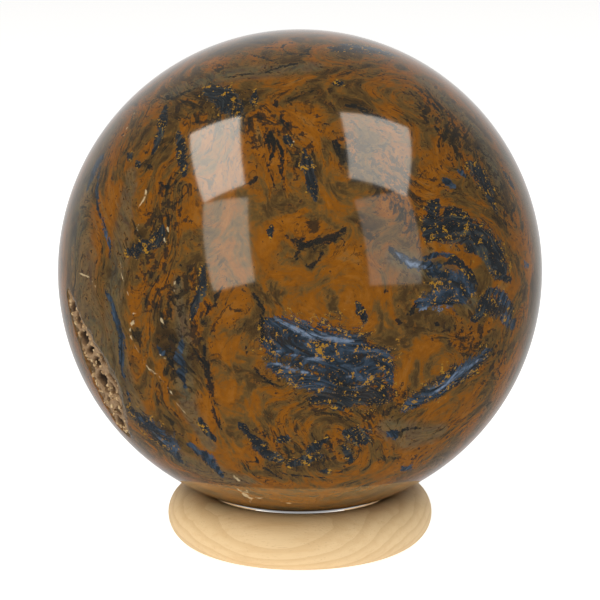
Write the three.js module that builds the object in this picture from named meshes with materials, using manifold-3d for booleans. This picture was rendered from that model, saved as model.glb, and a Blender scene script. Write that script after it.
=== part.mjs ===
// A polished stone ball resting on a turned wooden ring.
//
// Millimetres, +Z up. The origin is on the ring's axis, in the plane that the ring stands on.
// The ball's front faces -Y. Its one natural cavity, an unpolished hollow, is low on its -X side.

import * as THREE from 'three';
import { mergeVertices } from 'three/addons/utils/BufferGeometryUtils.js';
import Module from 'manifold-3d';

const wasm = await Module();
wasm.setup();

// ---- driving dimensions ----

const BALL_DIAMETER = 108;
const RING_OUTER_DIAMETER = 60;
const RING_SECTION_DIAMETER = 12.4;     // the ring is turned to a round section
const RING_FOOT_WIDTH = 3.6;            // sanded flat under the ring, where it stands
const SEAT_GAP = 0.3;                   // clearance between the ball and the ring

// The hollow: a crescent of merging pits, given by longitude and latitude on the ball.
// Longitude is 0 at the front (-Y) and negative towards -X.
const HOLLOW_TOP = { longitude: -67.5, latitude: -1.5 };
const HOLLOW_FOOT = { longitude: -60, latitude: -34.5 };
const HOLLOW_BOW = 7.5;                 // degrees that its middle bends towards the front
const HOLLOW_END_WIDTH = 4.5;
const HOLLOW_MIDDLE_WIDTH = 12.5;
const HOLLOW_END_DEPTH = 1.2;
const HOLLOW_MIDDLE_DEPTH = 2.8;
const PIT_COUNT = 6;                    // pits one after another along the hollow
const PIT_DEPTH_SWING = 0.3;            // how much deeper each pit is, as a share of the depth
const PIT_WIDTH_SWING = 0.1;            // how much wider each pit is, as a share of the width

// ---- fineness of the facets ----

const BALL_DETAIL = 13;                 // subdivisions of the icosahedron's edges
const HOLLOW_STEPS = 20;
const HOLLOW_SIDES = 9;
const RING_STEPS_AROUND = 72;
const SECTION_STEPS = 24;

// ---- sizes worked out from those above ----

const ballRadius = BALL_DIAMETER / 2;
const sectionRadius = RING_SECTION_DIAMETER / 2;
const ringRadius = RING_OUTER_DIAMETER / 2 - sectionRadius;
const footAngle = Math.asin(RING_FOOT_WIDTH / 2 / sectionRadius);
const sectionHeight = sectionRadius * Math.cos(footAngle);
const ballHeight = sectionHeight + Math.sqrt((ballRadius + sectionRadius + SEAT_GAP) ** 2 - ringRadius ** 2);

// ---- finishes ----

const polishedStone = new THREE.MeshStandardMaterial({ name: 'polished_stone', color: 0x8a5620, roughness: 0.12 });
const paleWood = new THREE.MeshStandardMaterial({ name: 'pale_wood', color: 0xdcc19a, roughness: 0.6 });

// ---- solids ----

function toSolid(geometry) {
  const bare = geometry.clone();
  bare.deleteAttribute('normal');
  bare.deleteAttribute('uv');
  const merged = mergeVertices(bare, 1e-4);
  return new wasm.Manifold(new wasm.Mesh({
    numProp: 3,
    vertProperties: new Float32Array(merged.attributes.position.array),
    triVerts: new Uint32Array(merged.index.array),
  }));
}

function toGeometry(solid) {
  const mesh = solid.getMesh();
  const geometry = new THREE.BufferGeometry();
  geometry.setAttribute('position', new THREE.BufferAttribute(new Float32Array(mesh.vertProperties), 3));
  geometry.setIndex(new THREE.BufferAttribute(new Uint32Array(mesh.triVerts), 1));
  geometry.computeVertexNormals();
  return geometry;
}

// ---- the ball ----

function directionAt(longitude, latitude) {
  const turn = THREE.MathUtils.degToRad(longitude);
  const rise = THREE.MathUtils.degToRad(latitude);
  return new THREE.Vector3(
    Math.sin(turn) * Math.cos(rise),
    -Math.cos(turn) * Math.cos(rise),
    Math.sin(rise),
  );
}

// The middle line of the hollow, with t from 0 at its top to 1 at its foot.
function hollowDirection(t) {
  const bow = HOLLOW_BOW * Math.sin(Math.PI * t);
  return directionAt(
    THREE.MathUtils.lerp(HOLLOW_TOP.longitude, HOLLOW_FOOT.longitude, t) + bow,
    THREE.MathUtils.lerp(HOLLOW_TOP.latitude, HOLLOW_FOOT.latitude, t),
  );
}

// The solid that is cut away: a row of flattened loops across the hollow's middle line, each wide
// across it and shallow into the ball, skinned and closed at both ends.
function hollowCutter() {
  const positions = [];
  for (let step = 0; step <= HOLLOW_STEPS; step += 1) {
    const t = step / HOLLOW_STEPS;
    const swell = Math.sin(Math.PI * t);
    const ripple = Math.cos(2 * Math.PI * PIT_COUNT * t);
    const width = THREE.MathUtils.lerp(HOLLOW_END_WIDTH, HOLLOW_MIDDLE_WIDTH, swell)
      * (1 - PIT_WIDTH_SWING * ripple);
    const depth = THREE.MathUtils.lerp(HOLLOW_END_DEPTH, HOLLOW_MIDDLE_DEPTH, swell)
      * (1 - PIT_DEPTH_SWING * ripple);
    const out = hollowDirection(t);
    const along = hollowDirection(t + 0.01).sub(hollowDirection(t - 0.01)).normalize();
    const across = new THREE.Vector3().crossVectors(out, along).normalize();
    for (let side = 0; side < HOLLOW_SIDES; side += 1) {
      const angle = 2 * Math.PI * (side + 0.5) / HOLLOW_SIDES;
      const point = out.clone().multiplyScalar(ballRadius)
        .addScaledVector(across, width / 2 * Math.cos(angle))
        .addScaledVector(out, depth * Math.sin(angle));
      positions.push(point.x, point.y, point.z);
    }
  }

  const faces = [];
  for (let step = 0; step < HOLLOW_STEPS; step += 1) {
    for (let side = 0; side < HOLLOW_SIDES; side += 1) {
      const here = step * HOLLOW_SIDES + side;
      const beside = step * HOLLOW_SIDES + (side + 1) % HOLLOW_SIDES;
      faces.push(here, beside, here + HOLLOW_SIDES);
      faces.push(beside, beside + HOLLOW_SIDES, here + HOLLOW_SIDES);
    }
  }
  const last = HOLLOW_STEPS * HOLLOW_SIDES;
  for (let side = 1; side < HOLLOW_SIDES - 1; side += 1) {
    faces.push(0, side + 1, side);
    faces.push(last, last + side, last + side + 1);
  }

  const geometry = new THREE.BufferGeometry();
  geometry.setAttribute('position', new THREE.BufferAttribute(new Float32Array(positions), 3));
  geometry.setIndex(faces);
  return toSolid(geometry);
}

function stoneBall() {
  const ball = toSolid(new THREE.IcosahedronGeometry(ballRadius, BALL_DETAIL));
  const mesh = new THREE.Mesh(toGeometry(ball.subtract(hollowCutter())), polishedStone);
  mesh.name = 'stone_sphere';
  mesh.position.z = ballHeight;
  return mesh;
}

// ---- the ring ----

// The section starts and ends at the inner edge of the foot, and its last stretch is the flat foot.
function ringSection() {
  const points = [];
  const sweep = 2 * (Math.PI - footAngle);
  for (let step = 0; step <= SECTION_STEPS; step += 1) {
    const angle = footAngle + sweep * step / SECTION_STEPS;
    points.push(new THREE.Vector2(
      ringRadius + sectionRadius * Math.sin(angle),
      sectionHeight - sectionRadius * Math.cos(angle),
    ));
  }
  points.push(points[0].clone());
  return points;
}

function woodenRing() {
  const mesh = new THREE.Mesh(new THREE.LatheGeometry(ringSection(), RING_STEPS_AROUND), paleWood);
  // The lathe turns about Y, so the ring is tipped up onto Z.
  mesh.rotation.x = Math.PI / 2;
  mesh.name = 'ring_stand';
  return mesh;
}

const decorativeSphere = new THREE.Group();
decorativeSphere.add(woodenRing(), stoneBall());

export default decorativeSphere;
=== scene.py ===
"""A polished ball of brown and blue-black stone, resting on a turned wooden ring."""

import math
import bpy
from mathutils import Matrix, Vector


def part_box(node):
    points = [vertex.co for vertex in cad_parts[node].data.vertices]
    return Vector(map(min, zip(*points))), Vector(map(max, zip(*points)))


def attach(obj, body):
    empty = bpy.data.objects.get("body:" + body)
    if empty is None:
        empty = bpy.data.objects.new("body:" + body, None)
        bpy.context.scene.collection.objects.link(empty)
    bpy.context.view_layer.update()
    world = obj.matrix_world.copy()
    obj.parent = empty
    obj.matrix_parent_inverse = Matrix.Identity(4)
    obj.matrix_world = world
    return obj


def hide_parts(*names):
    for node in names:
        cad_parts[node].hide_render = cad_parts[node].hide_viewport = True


bl_info = {
    "name": "Stone ball on a wooden ring",
    "version": (1, 0, 0),
    "blender": (4, 5, 0),
    "location": "3D View > Sidebar > Stone ball",
    "description": "Makes a polished stone ball with a natural hollow, its wooden ring and a small studio",
    "category": "Object",
}

import bmesh
import bpy
import numpy as np
from bpy.props import FloatProperty, FloatVectorProperty, IntProperty, PointerProperty
from bpy.types import Operator, Panel, PropertyGroup
from mathutils import Matrix, Vector

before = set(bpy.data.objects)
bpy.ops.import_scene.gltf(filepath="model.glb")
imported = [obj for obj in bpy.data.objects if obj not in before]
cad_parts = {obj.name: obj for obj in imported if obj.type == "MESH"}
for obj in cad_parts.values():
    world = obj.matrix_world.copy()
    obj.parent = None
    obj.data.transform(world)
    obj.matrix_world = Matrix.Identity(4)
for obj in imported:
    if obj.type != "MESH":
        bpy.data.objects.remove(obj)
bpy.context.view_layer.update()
BALL_LOW, BALL_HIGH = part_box("stone_sphere")
RING_LOW, RING_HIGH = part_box("ring_stand")

BALL_RADIUS = (BALL_HIGH.z - BALL_LOW.z) / 2
BALL_CENTRE = Vector((0, 0, (BALL_LOW.z + BALL_HIGH.z) / 2))
# One degree along the ball's surface.
DEGREE = BALL_RADIUS * math.radians(1)

# ---------------------------------------------------------------------------
# Markings. Each has half its width in degrees, then its middle line as longitude and latitude
# in degrees. Longitude is 0 at the front of the ball and negative towards its left side.
# ---------------------------------------------------------------------------

BLUE_PATCHES = (
    (3.6, ((-7, 1), (0, -1), (8, -4), (16, -6))),
    (4.0, ((-7, -4), (0, -6), (8, -8), (18, -10))),
    (3.0, ((-6, -9), (2, -12), (11, -13), (18, -11))),
    (1.7, ((16, -5), (20, -8), (21, -15))),
    (2.8, ((27, 4), (32, 4), (38, 4), (42, 5))),
    (1.9, ((30, 10), (35, 9), (39, 8), (42, 6))),
    (1.1, ((21, 17), (23, 15), (26, 13), (30, 12), (33, 12))),
    (0.8, ((29, 14), (33, 14), (38, 13))),
    (2.6, ((26, -22), (31, -19), (37, -16), (43, -12), (49, -10))),
    (1.4, ((26, -20), (30, -19))),
    (1.9, ((49, 4), (52, 2), (56, -1))),
    (1.7, ((52, -3), (56, -4), (59, -6))),
    (1.4, ((40, 31), (43, 29))),
    (1.0, ((47, 32), (49, 30))),
    (2.0, ((-69, 33), (-70, 30), (-69, 25))),
    (0.7, ((-68, 32), (-63, 25), (-57, 20), (-51, 15), (-48, 10))),
    (1.1, ((-50, 4), (-47, 0), (-45, -6), (-46, -13), (-47, -23))),
    (3.0, ((-46, -28), (-41, -30), (-38, -33), (-39, -40))),
    (1.3, ((-27, -4), (-28, -9), (-28, -16))),
    (1.2, ((-34, -7), (-33, -9))),
    (1.9, ((-31, -33), (-27, -36), (-25, -43))),
    (1.5, ((42, 76), (57, 74), (70, 70), (75, 66))),
    (1.4, ((33, -41), (37, -43))),
    (1.4, ((23, -28), (26, -30))),
    (1.2, ((64, 8), (67, 6))),
)

DARK_PATCHES = (
    (2.3, ((36, 26), (34, 23), (31, 19))),
    (3.2, ((32, 19), (38, 20), (45, 17), (51, 13), (55, 8))),
    (2.6, ((38, 23), (42, 21), (46, 18))),
    (2.1, ((43, 14), (48, 12), (52, 8), (57, 5))),
    (2.4, ((53, 33), (55, 30), (56, 27))),
    (1.4, ((54, 27), (55, 23), (56, 20))),
    (1.0, ((68, 28), (69, 25), (70, 23))),
    (1.4, ((34, 12), (38, 12), (42, 9), (44, 6))),
    (2.1, ((48, 4), (45, 0), (42, -2))),
    (1.7, ((3, -17), (7, -18))),
    (2.2, ((8, -20), (11, -18), (13, -17))),
    (1.3, ((8, -15), (12, -14))),
    (2.9, ((11, -27), (15, -28), (17, -30))),
    (1.2, ((12, -31), (15, -36))),
    (1.4, ((18, -13), (20, -17))),
    (1.4, ((-15, -24), (-13, -27))),
    (2.0, ((-12, -28), (-10, -31), (-7, -34), (-5, -35))),
    (1.4, ((-5, -29), (-3, -27))),
    (1.7, ((2, -32), (6, -29))),
    (1.8, ((-3, -37), (1, -35), (6, -34))),
    (1.2, ((6, -39), (9, -40))),
    (1.2, ((-7, 22), (-7, 20))),
    (1.3, ((-22, 12), (-22, 7), (-24, 3), (-25, 0))),
    (1.2, ((-25, -24), (-24, -28), (-23, -30))),
    (1.2, ((13, 5), (15, 0))),
    (2.5, ((-40, 55), (-31, 54), (-26, 50))),
    (1.3, ((-54, 49), (-48, 43), (-45, 37))),
    (1.4, ((-40, 43), (-35, 38), (-31, 32))),
    (1.4, ((-56, 35), (-53, 34))),
    (1.2, ((-50, 34), (-48, 33))),
    (2.0, ((-34, 20), (-35, 17), (-38, 15))),
    (1.8, ((-38, 16), (-41, 14), (-44, 13))),
    (1.4, ((-5, 43), (-3, 41))),
    (1.5, ((1, 40), (2, 35), (3, 31), (4, 28))),
    (1.1, ((15, 59), (20, 59))),
    (1.2, ((-18, 57), (-16, 53))),
)

DARK_LINES = (
    (0.9, ((-26, 51), (-22, 50), (-17, 48))),
    (0.8, ((-60, 51), (-53, 52), (-47, 56))),
    (0.8, ((-45, 34), (-42, 33))),
    (0.9, ((-40, 30), (-36, 29))),
    (0.8, ((-28, 10), (-28, 7))),
    (0.8, ((-29, 13), (-27, 12))),
    (0.8, ((-32, -9), (-30, -11))),
    (0.7, ((-37, 60), (-28, 62), (-20, 63), (-13, 65), (-3, 67), (5, 68))),
    (0.6, ((-50, 70), (-30, 70), (-18, 68), (-10, 66))),
    (0.6, ((-48, 73), (-18, 75), (-13, 79), (-3, 78))),
    (0.6, ((-3, 71), (10, 72))),
    (0.6, ((29, 62), (38, 60))),
    (0.9, ((-9, 54), (-7, 52))),
    (0.9, ((-7, 50), (-4, 46))),
    (0.9, ((5, 46), (9, 46))),
    (0.9, ((10, 42), (12, 39))),
    (1.2, ((16, 52), (22, 51), (27, 48), (33, 44))),
    (0.9, ((-13, 31), (-10, 33))),
    (0.6, ((-15, 48), (-11, 45), (-8, 40), (-8, 34), (-6, 30))),
    (0.6, ((-10, 46), (-7, 42), (-5, 38), (-5, 34), (-4, 30))),
    (1.0, ((-4, 20), (-2, 19), (2, 18), (5, 19), (8, 20), (10, 21), (11, 22))),
    (0.7, ((-4, 15), (0, 15), (2, 13), (4, 15), (6, 17))),
    (0.8, ((0, 18), (-1, 15))),
    (0.9, ((-12, 9), (-9, 6), (-8, 4), (-8, 0), (-8, -5))),
    (0.6, ((-12, -4), (-11, -8), (-8, -12), (-5, -15))),
    (0.8, ((-16, 10), (-18, 7), (-19, 4), (-22, 1))),
    (1.0, ((-22, -5), (-22, -10), (-21, -16), (-21, -22), (-20, -27))),
    (0.6, ((-12, -34), (-11, -38), (-7, -41), (-4, -43))),
    (0.6, ((-5, -40), (0, -41), (8, -42))),
    (0.9, ((21, 1), (23, 0))),
    (0.8, ((24, 2), (26, 4))),
    (0.8, ((31, -1), (33, -2))),
    (0.8, ((18, 8), (20, 8))),
    (0.9, ((53, 52), (54, 47))),
    (0.9, ((47, 44), (48, 42))),
    (0.9, ((60, 36), (62, 34))),
    (0.8, ((27, -28), (31, -28))),
)

# Streaks of the palest blue fibres: partly the fibres' own colour, partly a painted sheen where they catch
# the light.
BLUE_FIBRE_AND_SHEEN_STREAKS = (
    (0.9, ((-6, 2), (-1, 0), (3, -2), (7, -3), (12, -4))),
    (0.6, ((-5, -5), (-1, -6), (3, -7), (7, -8))),
    (0.6, ((-7, -8), (-2, -9), (2, -10))),
    (1.0, ((27, 3), (31, 2), (35, 2))),
    (0.9, ((32, -19), (38, -15), (46, -11))),
    (0.6, ((22, 16), (26, 13), (31, 11))),
    (0.6, ((8, -12), (12, -12))),
)

CREAM_VEINS = (
    (0.45, ((-42, -2), (-42, -6), (-40, -10), (-38, -12), (-34, -14), (-32, -17), (-31, -20))),
    (0.35, ((-31, -20), (-29, -23), (-28, -25))),
    (0.4, ((-62, 6), (-57, 5), (-53, 3))),
    (0.45, ((-52, 7), (-49, 3))),
    (0.5, ((-46, 11), (-45, 8), (-44, 6))),
    (0.4, ((-43, 5), (-42, 3))),
    (0.5, ((-41, 0), (-39, 1))),
    (0.7, ((-42, -3), (-40, -1))),
    (0.5, ((-33, 0), (-32, -2))),
    (0.4, ((-15, 1), (-14, 0))),
    (0.5, ((-30, 11), (-29, 9), (-29, 6))),
    (0.5, ((-44, 28), (-43, 27), (-43, 25), (-44, 23))),
    (0.5, ((-43, 20), (-42, 18))),
    (0.5, ((-33, 21), (-32, 19))),
    (0.6, ((-34, 18), (-32, 17))),
    (0.3, ((-70, 45), (-67, 42), (-64, 39))),
    (0.6, ((-2.6, 42), (-1.8, 42))),
    (0.8, ((-21, -42), (-19, -45))),
    (0.8, ((-22, -48), (-21, -53), (-18, -55))),
    (0.7, ((-19, -48), (-21, -58))),
    (0.6, ((-18, -54), (-14, -53))),
    (0.8, ((-6, -56), (-3, -57))),
    (0.5, ((-34, -9), (-32, -10))),
)

# Wide blue-black ground that the blue fibres and the dark patches lie in.
DARK_BEDS = (
    (8.5, ((-4, -3), (4, -6), (12, -8), (17, -9))),
    (4.5, ((5, -15), (13, -16), (20, -17))),
    (4.0, ((30, 5), (36, 6), (42, 6))),
    (5.0, ((33, 21), (40, 19), (48, 15), (54, 8))),
    (3.5, ((46, 1), (52, 0), (56, -2))),
    (4.0, ((28, -20), (36, -16), (47, -11))),
    (4.5, ((-48, -27), (-43, -30), (-40, -36))),
    (3.5, ((53, 32), (56, 26))),
    (3.5, ((-40, 56), (-30, 54), (-22, 50))),
    (3.0, ((30, 74), (50, 73), (72, 68))),
)

# Wide bands where the stone turns a greyish olive.
GREY_BANDS = (
    (8.0, ((-76, 38), (-68, 18), (-62, 6), (-54, -10), (-48, -26))),
    (4.0, ((-50, 30), (-46, 12), (-48, -4), (-44, -24))),
    (6.0, ((-40, -38), (-30, -42), (-20, -44))),
    (3.0, ((-28, 8), (-27, -6), (-28, -20), (-25, -32))),
    (4.0, ((-58, 52), (-42, 60), (-14, 64), (10, 66))),
    (4.0, ((62, 56), (66, 40), (62, 26))),
    (6.0, ((76, 30), (78, 0), (70, -24))),
    (4.0, ((22, 15), (32, 10), (42, 2))),
    (4.0, ((22, -26), (30, -30), (40, -30))),
)

# Mossy places, full of small dark specks.
MOSSY_PLACES = (
    (6.0, ((4, -16), (14, -18), (25, -20))),
    (6.0, ((14, 40), (24, 34), (27, 24))),
    (6.0, ((-34, 28), (-36, 12), (-32, 2))),
    (5.0, ((-12, -27), (-5, -33), (6, -32), (17, -28))),
    (6.0, ((-44, 50), (-28, 50), (-12, 46), (0, 38))),
    (7.0, ((52, 50), (54, 36), (60, 20))),
    (5.0, ((36, -4), (44, -8), (54, -14))),
    (5.0, ((-24, 10), (-26, -2), (-30, -12))),
)

# Plain places, almost free of threads.
PLAIN_PLACES = (
    (9.0, ((0, 10), (12, 4), (20, -2))),
    (6.0, ((-14, -8), (-16, -22), (-24, -36))),
    (6.0, ((-12, 26), (-12, 14))),
    (6.0, ((-10, -50), (10, -50), (28, -42))),
    (5.0, ((8, 32), (12, 22))),
    (5.0, ((22, -12), (30, -10), (38, -22))),
)

# Lines that the grain of the stone follows where no marking leads it.
GRAIN_LINES = (
    ((-72, 40), (-66, 10), (-68, -20), (-60, -40)),
    ((-30, 30), (-27, 15), (-31, 0), (-35, -20), (-30, -40)),
    ((-16, 36), (-14, 22), (-17, 10)),
    ((22, 36), (26, 28), (30, 18), (42, 14), (47, 8), (44, 0)),
    ((18, 14), (22, 4), (30, -2), (40, -4), (50, 0)),
    ((-15, -8), (-16, -18), (-18, -30), (-10, -46), (10, -50), (30, -42)),
    ((24, -8), (22, -20), (28, -32), (40, -32), (52, -22)),
    ((72, 50), (74, 20), (70, 0), (66, -20), (60, -40)),
    ((-60, 64), (-20, 58), (20, 64), (60, 62)),
    ((-70, 80), (0, 84), (70, 80)),
    ((62, 48), (50, 38), (48, 34)),
)

# The natural hollow: a crescent of merging pits, as in the solid.
HOLLOW_TOP = (-67.5, -1.5)
HOLLOW_FOOT = (-60, -34.5)
HOLLOW_BOW = 7.5
# How far past its ends and sides the ball's mesh is cut finer, as parts of its length and of its half width.
HOLLOW_END_MARGIN = 0.12
HOLLOW_SIDE_MARGIN = 1.35
PIT_SIZE = 0.0042
# How far the markings are tipped where they are used again on the back of the ball.
BACK_TIP = math.radians(24)

# Each soft box has its bearing from the ball, the direction of its long side, its size in metres,
# its brightness as a share of its side's high box, and its colour.
SOFT_BOX_DISTANCE = 0.9
LEFT_BOXES = (
    ("left_high", (-0.54, -0.22, 0.81), (0.06, 0.95, 0.30), (0.31, 0.59), 1.0, (1, 0.94, 0.84)),
    ("left_low", (-0.54, -0.75, 0.38), (-0.06, 0.48, 0.88), (0.33, 0.62), 0.5, (1, 0.9, 0.76)),
)
RIGHT_BOXES = (
    ("right_high", (0.51, -0.18, 0.84), (-0.19, 0.93, 0.31), (0.42, 0.56), 1.0, (1, 0.95, 0.86)),
    ("right_low", (0.66, -0.64, 0.38), (-0.19, 0.34, 0.92), (0.42, 0.62), 0.3, (1, 0.97, 0.93)),
)


def srgb(red, green, blue):
    """A colour given in display values from 0 to 255, as linear red, green and blue."""
    values = []
    for part in (red, green, blue):
        part /= 255
        values.append(part / 12.92 if part <= 0.04045 else ((part + 0.055) / 1.055) ** 2.4)
    return tuple(values)


# ---------------------------------------------------------------------------
# Sizes and colours that a user would change
# ---------------------------------------------------------------------------


def length_setting(name, description, value):
    return FloatProperty(name=name, description=description, default=value, min=0, unit="LENGTH")


def colour_setting(name, description, red, green, blue):
    default = srgb(red, green, blue)
    return FloatVectorProperty(name=name, description=description, default=default, subtype="COLOR")


class BallSettings(PropertyGroup):
    steps: IntProperty(
        name="Mesh steps",
        description="Parts that each edge of the starting solid is cut into",
        default=78,
        min=8,
        max=90,
    )
    hollow_end_width: length_setting("Hollow end width", "Width of the hollow at its ends", 0.0045)
    hollow_middle_width: length_setting("Hollow middle width", "Width of the hollow in its middle", 0.0125)
    hollow_depth: length_setting("Hollow depth", "Depth of the hollow in its middle", 0.0026)
    crumb_size: length_setting("Crumb size", "Radius of a crumb of raw stone in the hollow", 0.00042)
    crumb_density: FloatProperty(
        name="Crumb density",
        description="Crumbs on each square metre of the hollow",
        default=350000,
        min=0,
    )
    field_colour: colour_setting("Field colour", "Main golden brown of the stone", 111, 73, 25)
    rust_colour: colour_setting("Rust colour", "Orange-brown bands", 122, 73, 10)
    olive_colour: colour_setting("Olive colour", "Greenish brown bands", 90, 70, 36)
    dark_colour: colour_setting("Dark colour", "Blue-black patches", 26, 30, 34)
    blue_colour: colour_setting("Blue colour", "Slate-blue fibres", 48, 62, 78)
    # The streaks' pale blue: partly the fibres' own colour, partly painted sheen.
    pale_fibre_and_sheen_colour: colour_setting("Pale blue colour", "Brightest blue fibres", 106, 124, 150)
    cream_colour: colour_setting("Cream colour", "Pale veins and raw stone", 205, 186, 148)


class RingSettings(PropertyGroup):
    section: length_setting("Section", "Diameter of the ring's round section", 0.0124)
    steps_around: IntProperty(
        name="Steps around",
        description="Sections around the ring",
        default=256,
        min=16,
    )
    steps_section: IntProperty(
        name="Steps in section",
        description="Points in each section",
        default=96,
        min=8,
    )
    wood_colour: colour_setting("Wood colour", "Pale wood between the growth rings", 236, 207, 160)
    grain_colour: colour_setting("Grain colour", "Late wood of the growth rings", 220, 186, 136)


class StudioSettings(PropertyGroup):
    elevation: FloatProperty(
        name="Elevation",
        description="Camera height above the horizon",
        default=math.radians(12.3),
        subtype="ANGLE",
    )
    distance: FloatProperty(
        name="Distance",
        description="Camera distance from the ball's centre, in ball radii",
        default=12,
    )
    left_light: FloatProperty(
        name="Left light",
        description="Brightness of the high left soft box",
        default=7.4,
        min=0,
    )
    right_light: FloatProperty(
        name="Right light",
        description="Brightness of the high right soft box",
        default=5.0,
        min=0,
    )


# ---------------------------------------------------------------------------
# Places on the ball
# ---------------------------------------------------------------------------


def direction(longitude, latitude):
    """Unit vectors for longitudes and latitudes in degrees."""
    turn = np.radians(longitude)
    rise = np.radians(latitude)
    return np.stack([np.sin(turn) * np.cos(rise), -np.cos(turn) * np.cos(rise), np.sin(rise)], axis=-1)


def path_points(path):
    """The points of a path as unit vectors."""
    longitudes, latitudes = np.array(path, float).T
    return direction(longitudes, latitudes)


def turned_to_back(points):
    """The same path on the far side of the ball, tipped over so that it isn't a plain mirror."""
    x, y, z = -points.T
    cos, sin = math.cos(BACK_TIP), math.sin(BACK_TIP)
    return np.stack([x * cos + z * sin, y, z * cos - x * sin], axis=-1)


def lattice_noise(points, scale, seed):
    """Smooth noise from -1 to 1, blended from random values on a cubic lattice."""
    cells = points * scale + 512
    base = np.floor(cells).astype(np.int64)
    part = cells - base
    fade = part ** 3 * (part * (part * 6 - 15) + 10)
    total = np.zeros(len(points))
    for corner in np.ndindex(2, 2, 2):
        key = (base + corner) @ np.array([73856093, 19349663, 83492791]) + seed * 15485863
        key = (key ^ (key >> 13)) * 1274126177 & 0xFFFFFFFF
        key = (key ^ (key >> 16)) * 668265263 & 0xFFFFFFFF
        value = (key >> 8 & 0xFFFF) / 32767.5 - 1
        weight = np.prod(np.where(corner, fade, 1 - fade), axis=1)
        total += value * weight
    return total


def cloud_noise(points, scale, octaves, seed):
    """Several layers of lattice noise, each half as strong and twice as fine as the last."""
    total = np.zeros(len(points))
    for layer in range(octaves):
        total += lattice_noise(points, scale * 2 ** layer, seed + layer) / 2 ** layer
    return total


def stirred(points, amount, scale, octaves, seed):
    """The points pushed about by noise, as the stone was stirred before it set."""
    push = np.stack([cloud_noise(points, scale, octaves, seed + 20 * axis) for axis in range(3)], axis=1)
    moved = points + push * amount
    return moved / np.linalg.norm(moved, axis=1, keepdims=True)


def path_distance(points, path):
    """Distance in degrees from each point to a path, and how far along the path its foot is, from 0 to 1."""
    nearest = np.full(len(points), 1e3)
    along = np.zeros(len(points))
    pieces = len(path) - 1
    for index in range(pieces):
        start, end = path[index], path[index + 1]
        span = end - start
        place = np.clip((points - start) @ span / (span @ span), 0, 1)
        apart = np.linalg.norm(points - start - place[:, None] * span, axis=1)
        closer = apart < nearest
        nearest[closer] = apart[closer]
        along[closer] = (index + place[closer]) / pieces
    return np.degrees(nearest), along


def marking_strength(points, markings, taper=0.5):
    """1 on a marking's middle line, 0 at its edge and down to -1 outside it. Its ends are narrower."""
    strength = np.full(len(points), -1.0)
    for width, path in markings:
        for line in (path_points(path), turned_to_back(path_points(path))):
            near = points @ line.mean(axis=0) > 0.5
            distance, along = path_distance(points[near], line)
            half_width = width * (1 - taper + taper * 1.3 * np.sin(math.pi * along))
            strength[near] = np.maximum(strength[near], 1 - distance / half_width)
    return np.maximum(strength, -1)


def grain_field(points):
    """A smoothed distance in degrees to the nearest long line, whose contours are the bands of the stone."""
    sharpness = 0.22
    total = np.zeros(len(points))
    longest = [path for _, path in BLUE_PATCHES + DARK_PATCHES + DARK_LINES if len(path) > 3]
    for path in (*longest, *GRAIN_LINES):
        for line in (path_points(path), turned_to_back(path_points(path))):
            total += np.exp(-sharpness * path_distance(points, line)[0])
    return -np.log(total) / sharpness


# ---------------------------------------------------------------------------
# The hollow
# ---------------------------------------------------------------------------


def hollow_place(points, settings):
    """How far along the hollow each point is, from 0 to 1, and how far across it, in half widths."""
    latitude = np.degrees(np.arcsin(np.clip(points[:, 2], -1, 1)))
    longitude = np.degrees(np.arctan2(points[:, 0], -points[:, 1]))
    t = (latitude - HOLLOW_TOP[1]) / (HOLLOW_FOOT[1] - HOLLOW_TOP[1])
    swell = np.sin(math.pi * np.clip(t, 0, 1))
    middle = HOLLOW_TOP[0] + (HOLLOW_FOOT[0] - HOLLOW_TOP[0]) * t + HOLLOW_BOW * swell
    across = (longitude - middle) * np.cos(np.radians(latitude)) * DEGREE
    end = settings.hollow_end_width
    width = end + (settings.hollow_middle_width - end) * swell
    return t, across / (width / 2)


def wall_distance(points, seed):
    """How much nearer each point is to its own pit's middle than to the next one's. 0 is on a wall."""
    size = PIT_SIZE / BALL_RADIUS
    scaled = points / size
    base = np.floor(scaled).astype(int)
    first = np.full(len(points), 9.0)
    second = np.full(len(points), 9.0)
    for shift in np.ndindex(3, 3, 3):
        cell = base + np.array(shift) - 1
        middle = np.stack([0.5 + 0.42 * lattice_noise(cell, 1, seed + axis) for axis in range(3)], axis=1)
        apart = np.linalg.norm(scaled - cell - middle, axis=1)
        second = np.minimum(second, np.maximum(first, apart))
        first = np.minimum(first, apart)
    return second - first


def carve_hollow(points, settings):
    """The hollow's depth at each point, and how far the point is inside the hollow, a pit and their band."""
    rough = stirred(points, 0.010, 24, 3, 300)
    t, across = hollow_place(rough, settings)
    past_end = np.maximum(np.abs(t - 0.5) - 0.5, 0) / 0.06
    inside = 1 - np.sqrt(across ** 2 + past_end ** 2)
    dish = np.clip(inside, 0, 1) ** 0.7
    # The pits keep to a band along the middle of the dish.
    pitted = np.clip((0.85 - np.hypot(across + 0.1, past_end)) * 5, 0, 1)
    wall = wall_distance(stirred(points, 0.006, 30, 2, 340), 360)
    pit = np.clip(wall * 3.4 - 0.35, 0, 1) * pitted
    grit = cloud_noise(points, 90, 3, 380)
    swell = 0.6 + 0.4 * np.sin(math.pi * np.clip(t, 0, 1))
    depth = settings.hollow_depth * swell * (0.32 * dish + 0.8 * pit + 0.1 * grit * pitted)
    depth = np.where(inside > 0, np.clip(depth, 0, None), 0)
    return depth, inside, pit, pitted


# ---------------------------------------------------------------------------
# The ball
# ---------------------------------------------------------------------------


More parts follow.
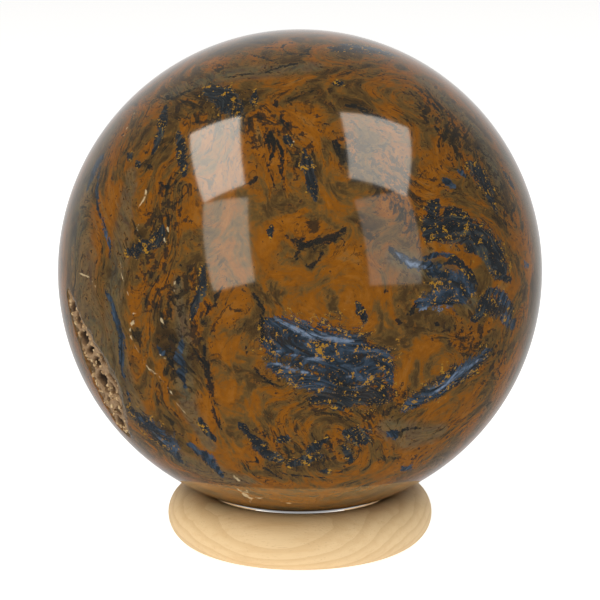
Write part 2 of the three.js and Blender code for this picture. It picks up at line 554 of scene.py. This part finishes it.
def unit_ball(settings):
    """A fine, even mesh of the unit ball, cut finer around the hollow."""
    mesh = bmesh.new()
    bmesh.ops.create_icosphere(mesh, subdivisions=1, radius=1)
    bmesh.ops.subdivide_edges(mesh, edges=mesh.edges[:], cuts=settings.steps - 1, use_grid_fill=True)
    for vertex in mesh.verts:
        vertex.co.normalize()
    places = np.array([vertex.co for vertex in mesh.verts])
    t, across = hollow_place(places, settings)
    along_it = np.abs(t - 0.5) < 0.5 + HOLLOW_END_MARGIN
    close = along_it & (np.abs(across) < HOLLOW_SIDE_MARGIN) & (places[:, 0] < 0)
    mesh.verts.ensure_lookup_table()
    chosen = {mesh.verts[index] for index in np.nonzero(close)[0]}
    edges = [edge for edge in mesh.edges if edge.verts[0] in chosen and edge.verts[1] in chosen]
    bmesh.ops.subdivide_edges(mesh, edges=edges, cuts=2, use_grid_fill=True)
    for vertex in mesh.verts:
        vertex.co.normalize()
    bmesh.ops.triangulate(mesh, faces=mesh.faces[:])
    bmesh.ops.recalc_face_normals(mesh, faces=mesh.faces[:])
    data = bpy.data.meshes.new("stone_ball")
    mesh.to_mesh(data)
    mesh.free()
    return data


def read_points(data):
    places = np.empty(len(data.vertices) * 3)
    data.vertices.foreach_get("co", places)
    return places.reshape(-1, 3)


def write_points(data, places):
    data.vertices.foreach_set("co", places.ravel())
    data.update()


def paint(data, name, values):
    """Keeps one number for each vertex under a name that a material can read."""
    layer = data.attributes.new(name, "FLOAT", "POINT")
    layer.data.foreach_set("value", np.asarray(values, np.float32))


def new_object(name, data):
    made = bpy.data.objects.new(name, data)
    bpy.context.scene.collection.objects.link(made)
    return made


def make_ball(settings):
    data = unit_ball(settings)
    points = read_points(data)
    points /= np.linalg.norm(points, axis=1, keepdims=True)

    swirled = stirred(points, 0.012, 7, 4, 100)
    for name, markings in (
        ("dark_patch", DARK_PATCHES),
        ("dark_line", DARK_LINES),
        ("blue_patch", BLUE_PATCHES),
        ("blue_fibre_and_sheen_streak", BLUE_FIBRE_AND_SHEEN_STREAKS),
        ("cream_vein", CREAM_VEINS),
    ):
        paint(data, name, marking_strength(swirled, markings))
    for name, places in (
        ("dark_bed", DARK_BEDS),
        ("grey_band", GREY_BANDS),
        ("mossy", MOSSY_PLACES),
        ("plain", PLAIN_PLACES),
    ):
        paint(data, name, marking_strength(swirled, places, taper=0.3))
    paint(data, "grain", grain_field(stirred(points, 0.03, 3.2, 4, 200)))

    depth, inside, pit, pitted = carve_hollow(points, settings)
    paint(data, "hollow", inside)
    paint(data, "pit", pit)
    paint(data, "pitted", pitted)
    write_points(data, points * (BALL_RADIUS - depth)[:, None] + np.array(BALL_CENTRE))
    data.shade_smooth()
    ball = new_object("polished_ball", data)
    data.materials.append(stone_material(settings))
    return ball


def crumb_tree(material):
    """Scatters small rough crumbs over the faces it is given, and leaves only the crumbs."""
    tree = bpy.data.node_groups.new("Raw crumbs", "GeometryNodeTree")
    for name, kind, socket in (
        ("Geometry", "INPUT", "NodeSocketGeometry"),
        ("Density", "INPUT", "NodeSocketFloat"),
        ("Size", "INPUT", "NodeSocketFloat"),
        ("Seed", "INPUT", "NodeSocketInt"),
        ("Geometry", "OUTPUT", "NodeSocketGeometry"),
    ):
        tree.interface.new_socket(name, in_out=kind, socket_type=socket)
    build = Nodes(tree)
    given = build.node("NodeGroupInput")
    spread = build.node(
        "GeometryNodeDistributePointsOnFaces",
        {"distribute_method": "RANDOM"},
        {
            "Mesh": given.outputs["Geometry"],
            "Density": given.outputs["Density"],
            "Seed": given.outputs["Seed"],
        },
    )
    crumb = build.node("GeometryNodeMeshIcoSphere", {}, {"Radius": given.outputs["Size"], "Subdivisions": 2})
    rough = build.node("ShaderNodeTexNoise", {"noise_dimensions": "3D"}, {"Scale": 2600})
    push = build.vector("SUBTRACT", rough.outputs["Color"], (0.5, 0.5, 0.5))
    lumpy = build.node(
        "GeometryNodeSetPosition",
        {},
        {"Geometry": crumb.outputs["Mesh"], "Offset": push.scaled(given.outputs["Size"])},
    )
    turn = build.node(
        "FunctionNodeRandomValue",
        {"data_type": "FLOAT_VECTOR"},
        {"Min": (0, 0, 0), "Max": (6.3, 6.3, 6.3), "Seed": 3},
    )
    stretch = build.node(
        "FunctionNodeRandomValue",
        {"data_type": "FLOAT_VECTOR"},
        {"Min": (0.5, 0.5, 0.4), "Max": (1.5, 1.3, 1.1), "Seed": 5},
    )
    placed = build.node(
        "GeometryNodeInstanceOnPoints",
        {},
        {
            "Points": spread.outputs["Points"],
            "Instance": lumpy.outputs["Geometry"],
            "Rotation": turn.outputs[0],
            "Scale": stretch.outputs[0],
        },
    )
    real = build.node("GeometryNodeRealizeInstances", {}, {"Geometry": placed.outputs["Instances"]})
    coated = build.node(
        "GeometryNodeSetMaterial", {}, {"Geometry": real.outputs["Geometry"], "Material": material}
    )
    build.node("NodeGroupOutput", {}, {"Geometry": coated.outputs["Geometry"]})
    return tree


def applied(source, tree, inputs, name):
    """Runs a geometry tree on an object, and gives the result back as a plain mesh object."""
    modifier = source.modifiers.new("Make", "NODES")
    modifier.node_group = tree
    for item in tree.interface.items_tree:
        if item.in_out == "INPUT" and item.name in inputs:
            modifier[item.identifier] = inputs[item.name]
    source.update_tag()
    bpy.context.view_layer.update()
    data = bpy.data.meshes.new_from_object(source.evaluated_get(bpy.context.evaluated_depsgraph_get()))
    source.modifiers.remove(modifier)
    made = new_object(name, data)
    bpy.data.objects.remove(source)
    return made


def make_crumbs(ball, settings):
    """Crumbs of raw stone that cling to the walls and rims of the pits."""
    mesh = bmesh.new()
    mesh.from_mesh(ball.data)
    band = mesh.verts.layers.float["pitted"]
    pit = mesh.verts.layers.float["pit"]
    away = []
    for face in mesh.faces:
        outside = min(vertex[band] for vertex in face.verts) < 0.3
        in_pit = max(vertex[pit] for vertex in face.verts) > 0.62
        if outside or in_pit:
            away.append(face)
    bmesh.ops.delete(mesh, geom=away, context="FACES")
    data = bpy.data.meshes.new("hollow_bed")
    mesh.to_mesh(data)
    mesh.free()
    bed = new_object("hollow_bed", data)
    crumbs = applied(
        bed,
        crumb_tree(raw_stone_material(settings)),
        {"Density": settings.crumb_density, "Size": settings.crumb_size, "Seed": 7},
        "hollow_crumbs",
    )
    return crumbs


# ---------------------------------------------------------------------------
# The ring
# ---------------------------------------------------------------------------


def ring_tree(material):
    """A round section carried round a circle, lifted onto the ground and sanded flat where it stands."""
    tree = bpy.data.node_groups.new("Turned ring", "GeometryNodeTree")
    for name, kind, socket in (
        ("Geometry", "INPUT", "NodeSocketGeometry"),
        ("Ring radius", "INPUT", "NodeSocketFloat"),
        ("Section radius", "INPUT", "NodeSocketFloat"),
        ("Height", "INPUT", "NodeSocketFloat"),
        ("Steps around", "INPUT", "NodeSocketInt"),
        ("Steps in section", "INPUT", "NodeSocketInt"),
        ("Geometry", "OUTPUT", "NodeSocketGeometry"),
    ):
        tree.interface.new_socket(name, in_out=kind, socket_type=socket)
    build = Nodes(tree)
    given = build.node("NodeGroupInput")
    circle = build.node(
        "GeometryNodeCurvePrimitiveCircle",
        {"mode": "RADIUS"},
        {"Resolution": given.outputs["Steps around"], "Radius": given.outputs["Ring radius"]},
    )
    section = build.node(
        "GeometryNodeCurvePrimitiveCircle",
        {"mode": "RADIUS"},
        {"Resolution": given.outputs["Steps in section"], "Radius": given.outputs["Section radius"]},
    )
    skin = build.node(
        "GeometryNodeCurveToMesh",
        {},
        {"Curve": circle.outputs["Curve"], "Profile Curve": section.outputs["Curve"]},
    )
    lift = build.node("ShaderNodeCombineXYZ", {}, {"Z": given.outputs["Height"]})
    lifted = build.node(
        "GeometryNodeTransform",
        {},
        {"Geometry": skin.outputs["Mesh"], "Translation": lift.outputs["Vector"]},
    )
    position = build.node("GeometryNodeInputPosition")
    place = build.node("ShaderNodeSeparateXYZ", {}, {"Vector": position.outputs["Position"]})
    sanded = build.node(
        "ShaderNodeCombineXYZ",
        {},
        {
            "X": place.outputs["X"],
            "Y": place.outputs["Y"],
            "Z": build.math("MAXIMUM", place.outputs["Z"], 0.0),
        },
    )
    standing = build.node(
        "GeometryNodeSetPosition",
        {},
        {"Geometry": lifted.outputs["Geometry"], "Position": sanded.outputs["Vector"]},
    )
    smooth = build.node("GeometryNodeSetShadeSmooth", {}, {"Geometry": standing.outputs["Geometry"]})
    real = build.node("GeometryNodeRealizeInstances", {}, {"Geometry": smooth.outputs["Geometry"]})
    finished = build.node(
        "GeometryNodeSetMaterial", {}, {"Geometry": real.outputs["Geometry"], "Material": material}
    )
    build.node("NodeGroupOutput", {}, {"Geometry": finished.outputs["Geometry"]})
    return tree


def make_ring(settings):
    section_radius = settings.section / 2
    start = new_object("ring_start", bpy.data.meshes.new("ring_start"))
    ring = applied(
        start,
        ring_tree(wood_material(settings)),
        {
            "Ring radius": RING_HIGH.x - section_radius,
            "Section radius": section_radius,
            "Height": RING_HIGH.z - section_radius,
            "Steps around": settings.steps_around,
            "Steps in section": settings.steps_section,
        },
        "turned_ring",
    )
    mesh = bmesh.new()
    mesh.from_mesh(ring.data)
    bmesh.ops.remove_doubles(mesh, verts=mesh.verts[:], dist=1e-6)
    bmesh.ops.recalc_face_normals(mesh, faces=mesh.faces[:])
    mesh.to_mesh(ring.data)
    mesh.free()
    ring.data.shade_smooth()
    return ring


# ---------------------------------------------------------------------------
# Nodes
# ---------------------------------------------------------------------------


class Nodes:
    """Builds a node tree, a node at a time."""

    def __init__(self, tree):
        self.tree = tree

    def node(self, kind, settings=None, inputs=None):
        """One node: its type, its settings, which are made first, and the values or links of its sockets."""
        made = self.tree.nodes.new(kind)
        for name, value in (settings or {}).items():
            if name == "stops":
                set_stops(made.color_ramp, value)
            else:
                setattr(made, name, value)
        for name, value in (inputs or {}).items():
            socket = made.inputs[name]
            if isinstance(value, Value):
                value = value.socket
            if isinstance(value, bpy.types.NodeSocket):
                self.tree.links.new(value, socket)
            elif socket.type == "RGBA" and len(value) == 3:
                socket.default_value = (*value, 1)
            else:
                socket.default_value = value
        return made

    def value(self, kind, settings=None, inputs=None, output=0):
        return Value(self, self.node(kind, settings, inputs).outputs[output])

    def math(self, operation, *terms):
        return self.value("ShaderNodeMath", {"operation": operation}, dict(enumerate(terms)))

    def vector(self, operation, *terms):
        return self.value("ShaderNodeVectorMath", {"operation": operation}, dict(enumerate(terms)))

    def attribute(self, name):
        settings = {"attribute_name": name, "attribute_type": "GEOMETRY"}
        return self.value("ShaderNodeAttribute", settings, {}, "Fac")

    def noise(self, place, scale, detail=3.0, roughness=0.5, w=None, distortion=0.0):
        settings = {"noise_dimensions": "3D" if w is None else "4D"}
        inputs = {
            "Vector": place,
            "Scale": scale,
            "Detail": detail,
            "Roughness": roughness,
            "Distortion": distortion,
        }
        if w is not None:
            inputs["W"] = w
        return self.value("ShaderNodeTexNoise", settings, inputs, "Fac")

    def ramp(self, amount, stops):
        return self.value("ShaderNodeValToRGB", {"stops": stops}, {"Fac": amount}, "Color")

    def blend(self, amount, first, second):
        """The first colour where the amount is 0, the second where it is 1."""
        made = self.node("ShaderNodeMix", {"data_type": "RGBA", "clamp_factor": True})
        for index, value in ((0, amount), (6, first), (7, second)):
            if isinstance(value, Value):
                self.tree.links.new(value.socket, made.inputs[index])
            elif index == 0:
                made.inputs[index].default_value = value
            else:
                made.inputs[index].default_value = (*value[:3], 1)
        return Value(self, made.outputs[2])

    def step(self, amount, low, high):
        """0 below low, 1 above high, and a smooth rise between them."""
        settings = {"interpolation_type": "SMOOTHSTEP"}
        return self.value(
            "ShaderNodeMapRange", settings, {"Value": amount, "From Min": low, "From Max": high}, "Result"
        )


class Value:
    """A socket that can be used in sums."""

    def __init__(self, build, socket):
        self.build = build
        self.socket = socket

    def __add__(self, other):
        return self.build.math("ADD", self, other)

    __radd__ = __add__

    def __sub__(self, other):
        return self.build.math("SUBTRACT", self, other)

    def __rsub__(self, other):
        return self.build.math("SUBTRACT", other, self)

    def __mul__(self, other):
        return self.build.math("MULTIPLY", self, other)

    __rmul__ = __mul__

    def __abs__(self):
        return self.build.math("ABSOLUTE", self)

    def larger(self, other):
        return self.build.math("MAXIMUM", self, other)

    def scaled(self, factor):
        """A vector times a number."""
        made = self.build.node("ShaderNodeVectorMath", {"operation": "SCALE"}, {0: self, "Scale": factor})
        return Value(self.build, made.outputs[0])


def set_stops(ramp, stops):
    while len(ramp.elements) > 1:
        ramp.elements.remove(ramp.elements[-1])
    for index, (position, colour) in enumerate(stops):
        element = ramp.elements[0] if index == 0 else ramp.elements.new(position)
        element.position = position
        element.color = (*colour[:3], 1)


# ---------------------------------------------------------------------------
# Finishes
# ---------------------------------------------------------------------------


def new_material(name):
    material = bpy.data.materials.new(name)
    material.use_nodes = True
    material.node_tree.nodes.clear()
    return material, Nodes(material.node_tree)


def close_material(build, colour, roughness, height, distance, **fixed):
    """The shader and output that each finish ends in. Fixed numbers are set on the shader's own sockets."""
    bump = build.node("ShaderNodeBump", {}, {"Height": height, "Strength": 1.0, "Distance": distance})
    shader = build.node(
        "ShaderNodeBsdfPrincipled",
        {},
        {"Base Color": colour, "Roughness": roughness, "Normal": bump.outputs["Normal"]},
    )
    for name, value in fixed.items():
        shader.inputs[name.replace("_", " ")].default_value = value
    build.node("ShaderNodeOutputMaterial", {}, {"Surface": shader.outputs["BSDF"]})


def centimetres(build):
    """The place on the object, in centimetres."""
    place = Value(build, build.node("ShaderNodeTexCoord").outputs["Object"])
    return place.scaled(100)


def stone_material(settings):
    material, build = new_material("Polished stone")
    place = centimetres(build)
    grain = build.attribute("grain")
    mossy = build.step(build.attribute("mossy"), -0.4, 0.5)
    plain = build.step(build.attribute("plain"), -0.3, 0.4)

    # Noise whose fourth place is the grain field: it changes fast across the bands and slowly along them.
    bands = build.noise(place, 1.2, 8, 0.67, w=grain * 0.42, distortion=0.6)
    wide = build.noise(place, 0.6, 3, 0.5, w=grain * 0.12)
    threads = build.noise(place, 1.6, 5, 0.68, w=grain * 0.85 + 31.0, distortion=0.4)
    strands = build.noise(place, 1.2, 5, 0.6, w=grain * 0.7 + 83.0, distortion=0.3)
    mottle = build.noise(place, 7.0, 5, 0.65)
    specks = build.noise(place, 24.0, 3, 0.6)

    tone = bands * 0.9 + wide * 0.3 - 0.1
    colour = build.ramp(
        tone,
        (
            (0.32, srgb(44, 35, 22)),
            (0.41, srgb(70, 53, 29)),
            (0.46, settings.olive_colour),
            (0.50, settings.field_colour),
            (0.55, settings.rust_colour),
            (0.62, srgb(132, 84, 24)),
            (0.70, srgb(112, 84, 44)),
        ),
    )
    # Greyish olive bands, broken along the grain.
    grey = build.step(build.attribute("grey_band") + (bands - 0.5) * 3.0, -0.1, 0.7)
    greys = build.ramp(
        threads,
        ((0.38, srgb(48, 54, 54)), (0.5, srgb(84, 80, 61)), (0.62, srgb(108, 91, 58))),
    )
    colour = build.blend(grey * 0.75, colour, greys)
    colour = build.blend(build.step(mottle, 0.52, 0.68) * 0.5, colour, srgb(140, 90, 26))
    colour = build.blend(build.step(mottle, 0.48, 0.3) * 0.5, colour, srgb(64, 46, 22))

    # Dark threads that run with the bands, and specks between them.
    busy = 1 - plain * 0.85
    thread = build.step(threads + mossy * 0.05 - plain * 0.04, 0.575, 0.625)
    colour = build.blend(thread * busy * 0.85, colour, srgb(33, 32, 26))
    hair = build.step(abs(strands - 0.5), 0.022, 0.006) * build.step(mottle, 0.4, 0.55)
    colour = build.blend(hair * busy * 0.7, colour, srgb(52, 38, 22))
    moss = build.step(mottle + mossy * 0.09 - plain * 0.06, 0.60, 0.645)
    colour = build.blend(moss * 0.85, colour, srgb(32, 31, 28))
    dust = build.step(specks + mossy * 0.04 - plain * 0.05, 0.66, 0.70)
    colour = build.blend(dust * 0.75, colour, srgb(54, 30, 14))

    # Patches fray along the grain: the same bands that colour the field eat into their edges.
    fray = (threads - 0.5) * 2.2 + (mottle - 0.5) * 2.0 + (specks - 0.5) * 1.0
    bed = build.step(build.attribute("dark_bed") * 1.3 + fray * 1.4, 0.2, 0.42)
    dark = build.step(build.attribute("dark_patch") + fray, 0.08, 0.24)
    line = build.step(build.attribute("dark_line") + fray * 1.3, 0.25, 0.6)
    blue = build.step(build.attribute("blue_patch") + fray * 1.2, 0.15, 0.45)
    # Where the streaks lie: partly the fibres' own pale blue, partly painted sheen.
    fibre_sheen_mask = build.step(build.attribute("blue_fibre_and_sheen_streak") + fray * 0.7, 0.0, 0.9)

    fibre = build.noise(place, 1.7, 5, 0.66, w=grain * 1.5 + 57.0)
    blues = build.ramp(
        fibre,
        (
            (0.30, srgb(24, 29, 34)),
            (0.46, srgb(31, 40, 49)),
            (0.56, settings.blue_colour),
            (0.68, srgb(68, 84, 104)),
        ),
    )
    # Painted sheen: the brightest fibres in the streaks turn pale blue, which is partly their own colour.
    blues = build.blend(fibre_sheen_mask * build.step(fibre, 0.36, 0.56), blues, settings.pale_fibre_and_sheen_colour)
    darks = build.ramp(
        fibre,
        (
            (0.35, settings.dark_colour),
            (0.52, srgb(34, 38, 42)),
            (0.62, srgb(52, 58, 62)),
            (0.70, srgb(88, 82, 50)),
        ),
    )
    gold = build.step(specks * 0.7 + mottle + threads * 0.5, 1.20, 1.25)
    golden = build.ramp(mottle, ((0.4, srgb(96, 72, 28)), (0.6, srgb(160, 118, 32))))
    colour = build.blend(bed * 0.94, colour, darks)
    colour = build.blend(blue, colour, blues)
    colour = build.blend(line * 0.92, colour, srgb(27, 29, 29))
    colour = build.blend(dark, colour, darks)
    sparkle = gold * bed.larger(dark) * (1 - fibre_sheen_mask * 0.8)
    colour = build.blend(sparkle * 0.85, colour, golden)
    vein = build.step(build.attribute("cream_vein") + fray * 0.6, 0.35, 0.8)
    colour = build.blend(vein * 0.65, colour, settings.cream_colour)

    # The hollow: raw and dull, dark in the pits and pale on the walls between them.
    hollow = build.attribute("hollow")
    worn = build.step(hollow + (mottle - 0.5) * 0.3, -0.06, 0.2)
    dull = build.ramp(mottle, ((0.4, srgb(84, 68, 48)), (0.6, srgb(128, 108, 82))))
    colour = build.blend(worn * 0.7, colour, dull)
    raw = build.step(build.attribute("pitted"), 0.2, 0.6)
    pit = build.attribute("pit")
    crust = build.ramp(
        pit + (mottle - 0.5) * 0.5,
        (
            (0.05, srgb(152, 124, 92)),
            (0.25, srgb(118, 90, 60)),
            (0.50, srgb(68, 48, 29)),
            (0.85, srgb(38, 27, 18)),
        ),
    )
    colour = build.blend(raw, colour, crust)

    roughness = 0.08 + worn * 0.25 + raw * 0.45
    height = raw * (specks + mottle)
    close_material(build, colour, roughness, height, 0.0004, IOR=1.54)
    return material


def raw_stone_material(settings):
    material, build = new_material("Raw stone crumbs")
    place = centimetres(build)
    mottle = build.noise(place, 12.0, 4, 0.6)
    grit = build.noise(place, 60.0, 3, 0.6)
    colour = build.ramp(
        mottle, ((0.35, srgb(120, 86, 52)), (0.5, srgb(182, 152, 112)), (0.65, settings.cream_colour))
    )
    close_material(build, colour, 0.75 + grit * 0.2, grit, 0.0001)
    return material


def wood_material(settings):
    material, build = new_material("Pale turned wood")
    place = centimetres(build)
    # The fibres run from side to side, and the growth rings lie round an axis far below and a little behind.
    turn = build.node(
        "ShaderNodeMapping",
        {"vector_type": "POINT"},
        {"Vector": place, "Location": (0, -1.2, 6.2), "Rotation": (0, math.radians(4), math.radians(7))},
    )
    parts = build.node("ShaderNodeSeparateXYZ", {}, {"Vector": turn.outputs["Vector"]})
    x, y, z = (Value(build, parts.outputs[name]) for name in "XYZ")
    flat = build.node("ShaderNodeCombineXYZ", {}, {"X": x * 0.12, "Y": y, "Z": z})
    along = Value(build, flat.outputs["Vector"])
    wander = build.noise(along, 0.7, 3, 0.5) * 0.5
    growth = build.math("SQRT", y * y + z * z) + wander
    ring = build.math("FRACT", growth * 4.2)
    late = build.step(ring, 0.35, 0.95) * build.step(ring, 1.0, 0.96)
    pores = build.noise(build.vector("MULTIPLY", turn.outputs["Vector"], (3, 60, 60)), 1.0, 2, 0.5)
    streaks = build.noise(build.vector("MULTIPLY", turn.outputs["Vector"], (0.5, 7, 7)), 1.0, 4, 0.6)
    colour = build.blend(late * 0.6, settings.wood_colour, settings.grain_colour)
    colour = build.blend(build.step(streaks, 0.45, 0.7) * 0.4, colour, srgb(222, 186, 134))
    colour = build.blend(build.step(pores, 0.62, 0.7) * 0.35, colour, srgb(186, 150, 108))
    roughness = 0.5 + streaks * 0.12
    height = pores * -0.6 + late * 0.3
    close_material(build, colour, roughness, height, 0.00008, IOR=1.5)
    return material


# ---------------------------------------------------------------------------
# The studio
# ---------------------------------------------------------------------------


def soft_box(name, bearing, long_side, size, brightness, tint):
    """A rectangular light that faces the ball. Its brightness is that of its surface."""
    light = bpy.data.lights.new(name, "AREA")
    light.shape = "RECTANGLE"
    light.size, light.size_y = size
    light.energy = brightness * math.pi * size[0] * size[1]
    light.color = tint
    made = new_object(name, light)
    away = Vector(bearing).normalized()
    across = Vector(long_side).cross(away).normalized()
    made.location = BALL_CENTRE + away * SOFT_BOX_DISTANCE
    made.rotation_euler = Matrix((across, away.cross(across), away)).transposed().to_euler()
    return made


def make_floor():
    """A pale floor. It glows a little, to stay white far from the lights, and the ball doesn't mirror it."""
    mesh = bmesh.new()
    bmesh.ops.create_grid(mesh, x_segments=1, y_segments=1, size=6)
    data = bpy.data.meshes.new("floor")
    mesh.to_mesh(data)
    mesh.free()
    floor = new_object("studio_floor", data)
    material, build = new_material("Studio floor")
    shader = build.node(
        "ShaderNodeBsdfPrincipled",
        {},
        {
            "Base Color": (0.7, 0.7, 0.7),
            "Roughness": 0.9,
            "Emission Color": (1, 1, 1),
            "Emission Strength": 0.75,
        },
    )
    build.node("ShaderNodeOutputMaterial", {}, {"Surface": shader.outputs["BSDF"]})
    data.materials.append(material)
    floor.visible_glossy = False
    return floor


def make_world():
    """A dim room with a pale wall behind the ball, which shows as a haze round its edge."""
    world = bpy.data.worlds.new("Studio")
    world.use_nodes = True
    world.node_tree.nodes.clear()
    bpy.context.scene.world = world
    build = Nodes(world.node_tree)
    parts = build.node(
        "ShaderNodeSeparateXYZ", {}, {"Vector": build.node("ShaderNodeTexCoord").outputs["Generated"]}
    )
    behind = Value(build, parts.outputs["Y"]).larger(0.0)
    strength = 0.1 + behind * behind * behind * behind * 0.75
    shader = build.node("ShaderNodeBackground", {}, {"Color": (1, 1, 1), "Strength": strength})
    build.node("ShaderNodeOutputWorld", {}, {"Surface": shader.outputs["Background"]})


# The ball's radius in the picture and its centre's height above the middle, as shares of the width.
BALL_SHARE = 0.4037
BALL_LIFT = 0.0473


def make_camera(settings):
    camera = bpy.data.cameras.new("Camera")
    camera.sensor_width = 36
    # The focal length, as a share of the picture's width, that gives the ball its size in the picture.
    focal = BALL_SHARE / math.tan(math.asin(1 / settings.distance))
    camera.lens = camera.sensor_width * focal
    made = new_object("Camera", camera)
    back = Vector((0, -math.cos(settings.elevation), math.sin(settings.elevation)))
    made.location = BALL_CENTRE + back * BALL_RADIUS * settings.distance
    # The ball stands a little above the middle of the picture, to leave room for its ring.
    dip = settings.elevation + math.atan(BALL_LIFT / focal)
    made.rotation_euler = (math.pi / 2 - dip, 0, 0)
    bpy.context.scene.camera = made
    return made


# ---------------------------------------------------------------------------
# Operators and panel
# ---------------------------------------------------------------------------


class ORNAMENT_OT_turn_ring(Operator):
    """Turn the wooden ring"""

    bl_idname = "ornament.turn_ring"
    bl_label = "Turn the ring"

    def execute(self, context):
        ring = make_ring(context.scene.wooden_ring)
        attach(ring, "root")
        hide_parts("ring_stand")
        return {"FINISHED"}


class ORNAMENT_OT_polish_ball(Operator):
    """Make the polished ball with its hollow, and the crumbs in the hollow"""

    bl_idname = "ornament.polish_ball"
    bl_label = "Polish the ball"

    def execute(self, context):
        settings = context.scene.stone_ball
        ball = make_ball(settings)
        crumbs = make_crumbs(ball, settings)
        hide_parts("stone_sphere")
        for piece in (ball, crumbs):
            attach(piece, "root")
        return {"FINISHED"}


class ORNAMENT_OT_set_stage(Operator):
    """Set the floor, the soft boxes, the surroundings and the camera"""

    bl_idname = "ornament.set_stage"
    bl_label = "Set the stage"

    def execute(self, context):
        settings = context.scene.ball_studio
        make_floor()
        make_world()
        for boxes, brightness in ((LEFT_BOXES, settings.left_light), (RIGHT_BOXES, settings.right_light)):
            for name, bearing, long_side, size, share, tint in boxes:
                soft_box(name, bearing, long_side, size, brightness * share, tint)
        make_camera(settings)
        context.scene.view_settings.view_transform = "Standard"
        return {"FINISHED"}


class ORNAMENT_PT_stone_ball(Panel):
    bl_label = "Stone ball on a ring"
    bl_space_type = "VIEW_3D"
    bl_region_type = "UI"
    bl_category = "Stone ball"

    def draw(self, context):
        layout = self.layout
        for settings, operator in (
            (context.scene.wooden_ring, "ornament.turn_ring"),
            (context.scene.stone_ball, "ornament.polish_ball"),
            (context.scene.ball_studio, "ornament.set_stage"),
        ):
            box = layout.box()
            for name in settings.__annotations__:
                box.prop(settings, name)
            box.operator(operator)


CLASSES = (
    BallSettings,
    RingSettings,
    StudioSettings,
    ORNAMENT_OT_turn_ring,
    ORNAMENT_OT_polish_ball,
    ORNAMENT_OT_set_stage,
    ORNAMENT_PT_stone_ball,
)


def register():
    for cls in CLASSES:
        bpy.utils.register_class(cls)
    bpy.types.Scene.stone_ball = PointerProperty(type=BallSettings)
    bpy.types.Scene.wooden_ring = PointerProperty(type=RingSettings)
    bpy.types.Scene.ball_studio = PointerProperty(type=StudioSettings)


def unregister():
    del bpy.types.Scene.stone_ball
    del bpy.types.Scene.wooden_ring
    del bpy.types.Scene.ball_studio
    for cls in reversed(CLASSES):
        bpy.utils.unregister_class(cls)


def main():
    register()
    bpy.ops.ornament.set_stage()
    bpy.ops.ornament.turn_ring()
    bpy.ops.ornament.polish_ball()


if __name__ == "__main__":
    main()
